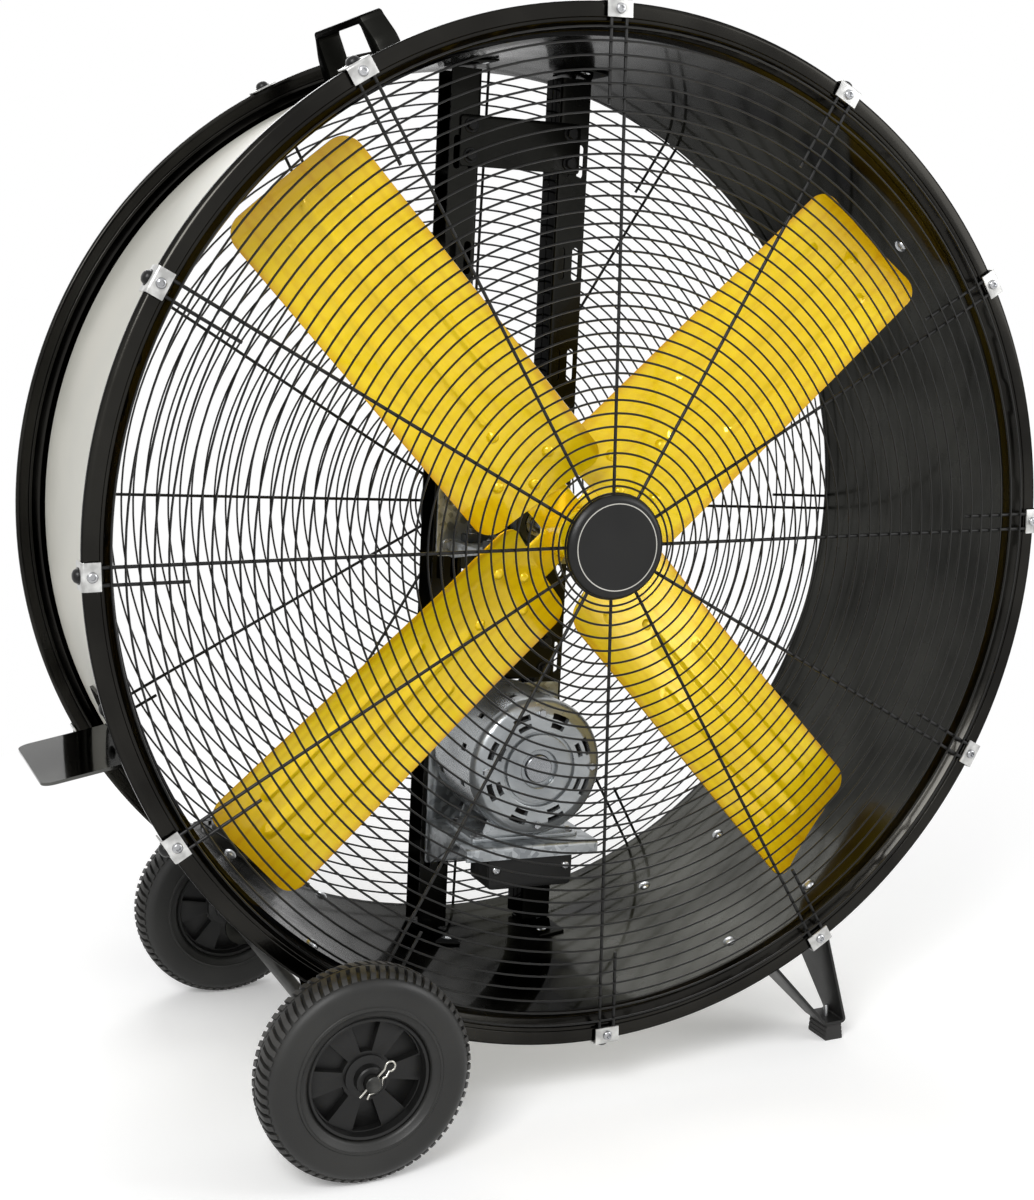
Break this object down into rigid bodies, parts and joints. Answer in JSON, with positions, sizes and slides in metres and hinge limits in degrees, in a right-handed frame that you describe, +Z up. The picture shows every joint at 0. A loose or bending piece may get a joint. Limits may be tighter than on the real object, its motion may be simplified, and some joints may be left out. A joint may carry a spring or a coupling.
{
  "type": "drum fan",
  "caption": "Belt-driven drum fan on wheels and rubber feet: black steel drum with a wire guard at each end, yellow pitched blades and a motor low inside.",
  "frame": {"origin": "on the floor, under the middle of the whole fan's box", "axes": "+Z up from the floor; +Y from the front guard to the rear guard along the drum's axis; +X to the right seen from the front, towards the feet"},
  "size_m": [1.3416, 0.7322, 1.3903],
  "materials": {
    "black_paint": "gloss",
    "black_wire": "satin",
    "black_plastic": "satin",
    "zinc_plate": "galvanised",
    "bright_steel": "ground",
    "cast_iron": "painted",
    "yellow_paint": "gloss",
    "motor_paint": "satin",
    "black_rubber": "matt",
    "tyre_rubber": "matt"
  },
  "bodies": {
    "stand": {"drum_skin": "black_paint", "front_rim": "black_paint", "rear_rim": "black_paint", "left_upright": "black_paint", "right_upright": "black_paint", "upper_cross_plate": "black_paint", "lower_cross_plate": "black_paint", "handle": "black_paint", "step_plate": "black_paint", "front_axle_bracket": "black_paint", "rear_axle_bracket": "black_paint", "front_foot": "black_paint", "rear_foot": "black_paint", "front_guard": "black_wire", "rear_guard": "black_wire", "front_guard_cap": "black_plastic", "rear_guard_cap": "black_plastic", "control_box": "black_plastic", "front_clip_01": "zinc_plate", "front_clip_02": "zinc_plate", "front_clip_03": "zinc_plate", "front_clip_04": "zinc_plate", "front_clip_05": "zinc_plate", "front_clip_06": "zinc_plate", "front_clip_07": "zinc_plate", "front_clip_08": "zinc_plate", "front_clip_09": "zinc_plate", "front_clip_10": "zinc_plate", "front_clip_11": "zinc_plate", "front_clip_12": "zinc_plate", "rear_clip_1": "zinc_plate", "rear_clip_2": "zinc_plate", "rear_clip_3": "zinc_plate", "rear_clip_4": "zinc_plate", "bearing_bracket": "zinc_plate", "motor_bracket": "zinc_plate", "axle": "zinc_plate", "front_split_pin": "zinc_plate", "rear_split_pin": "zinc_plate", "front_bearing": "cast_iron", "rear_bearing": "cast_iron", "motor_body": "motor_paint", "motor_front_bell": "motor_paint", "motor_foot": "motor_paint", "drive_belt": "black_rubber", "front_foot_pad": "black_rubber", "rear_foot_pad": "black_rubber"},
    "rotor": {"spider_hub": "yellow_paint", "blade_1": "yellow_paint", "blade_2": "yellow_paint", "blade_3": "yellow_paint", "blade_4": "yellow_paint", "fan_shaft": "bright_steel", "fan_pulley": "cast_iron"},
    "motor_rotor": {"motor_shaft": "bright_steel", "motor_pulley": "cast_iron"},
    "front_wheel": {"front_tyre": "tyre_rubber", "front_wheel_rim": "black_plastic"},
    "rear_wheel": {"rear_tyre": "tyre_rubber", "rear_wheel_rim": "black_plastic"}
  },
  "joints": [
    {"name": "rotor_spin", "type": "hinge", "parent": "stand", "child": "rotor", "pos_m": [0.01047, 0, 0.73], "axis": [0, 1, 0], "continuous": true},
    {"name": "motor_spin", "type": "hinge", "parent": "stand", "child": "motor_rotor", "pos_m": [-0.00507, 0, 0.40037], "axis": [0, 1, 0], "continuous": true},
    {"name": "front_wheel_spin", "type": "hinge", "parent": "stand", "child": "front_wheel", "pos_m": [-0.34746, -0.324, 0.13193], "axis": [0, 1, 0], "continuous": true},
    {"name": "rear_wheel_spin", "type": "hinge", "parent": "stand", "child": "rear_wheel", "pos_m": [-0.34746, 0.324, 0.13193], "axis": [0, 1, 0], "continuous": true}
  ],
  "couplings": [
    {"joint": "motor_spin", "follows": "rotor_spin", "ratio": 2.8387}
  ]
}
